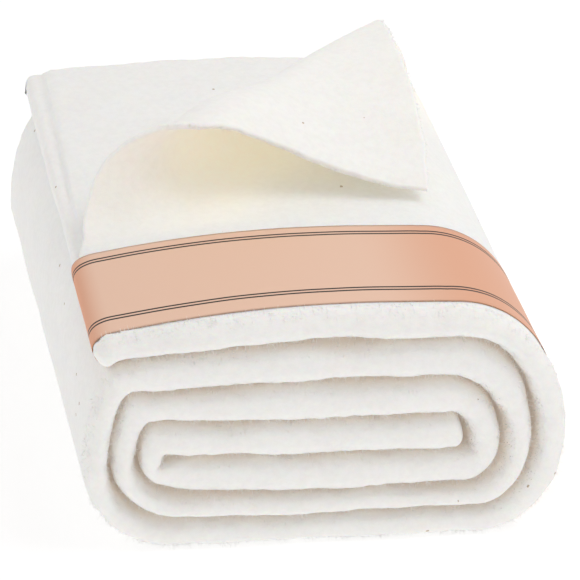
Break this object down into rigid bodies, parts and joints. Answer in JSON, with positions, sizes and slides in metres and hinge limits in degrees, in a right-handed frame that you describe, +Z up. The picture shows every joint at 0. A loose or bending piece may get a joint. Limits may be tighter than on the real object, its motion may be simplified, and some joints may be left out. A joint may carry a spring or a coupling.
{
  "type": "roll of cotton batting",
  "caption": "Flat-wound oblong roll of off-white cotton batting with a plain paper band and a loose top ply whose back corner is folded over in a soft curl.",
  "frame": {"origin": "on the table, under the middle of the roll's bounding box", "axes": "+X to the right across the wound end, +Y back along the roll's axis, away from the wound end that shows, +Z up"},
  "size_m": [0.2288, 0.2542, 0.1609],
  "materials": {
    "batting": "soft needled cotton wadding, off-white, fully matte",
    "loose_ply": "soft needled cotton wadding, off-white, fully matte",
    "band_paper": "thin peach paper with a slight sheen, plain"
  },
  "bodies": {
    "root": {"batting_roll": "batting", "loose_ply": "loose_ply", "paper_band": "band_paper"}
  },
  "joints": []
}
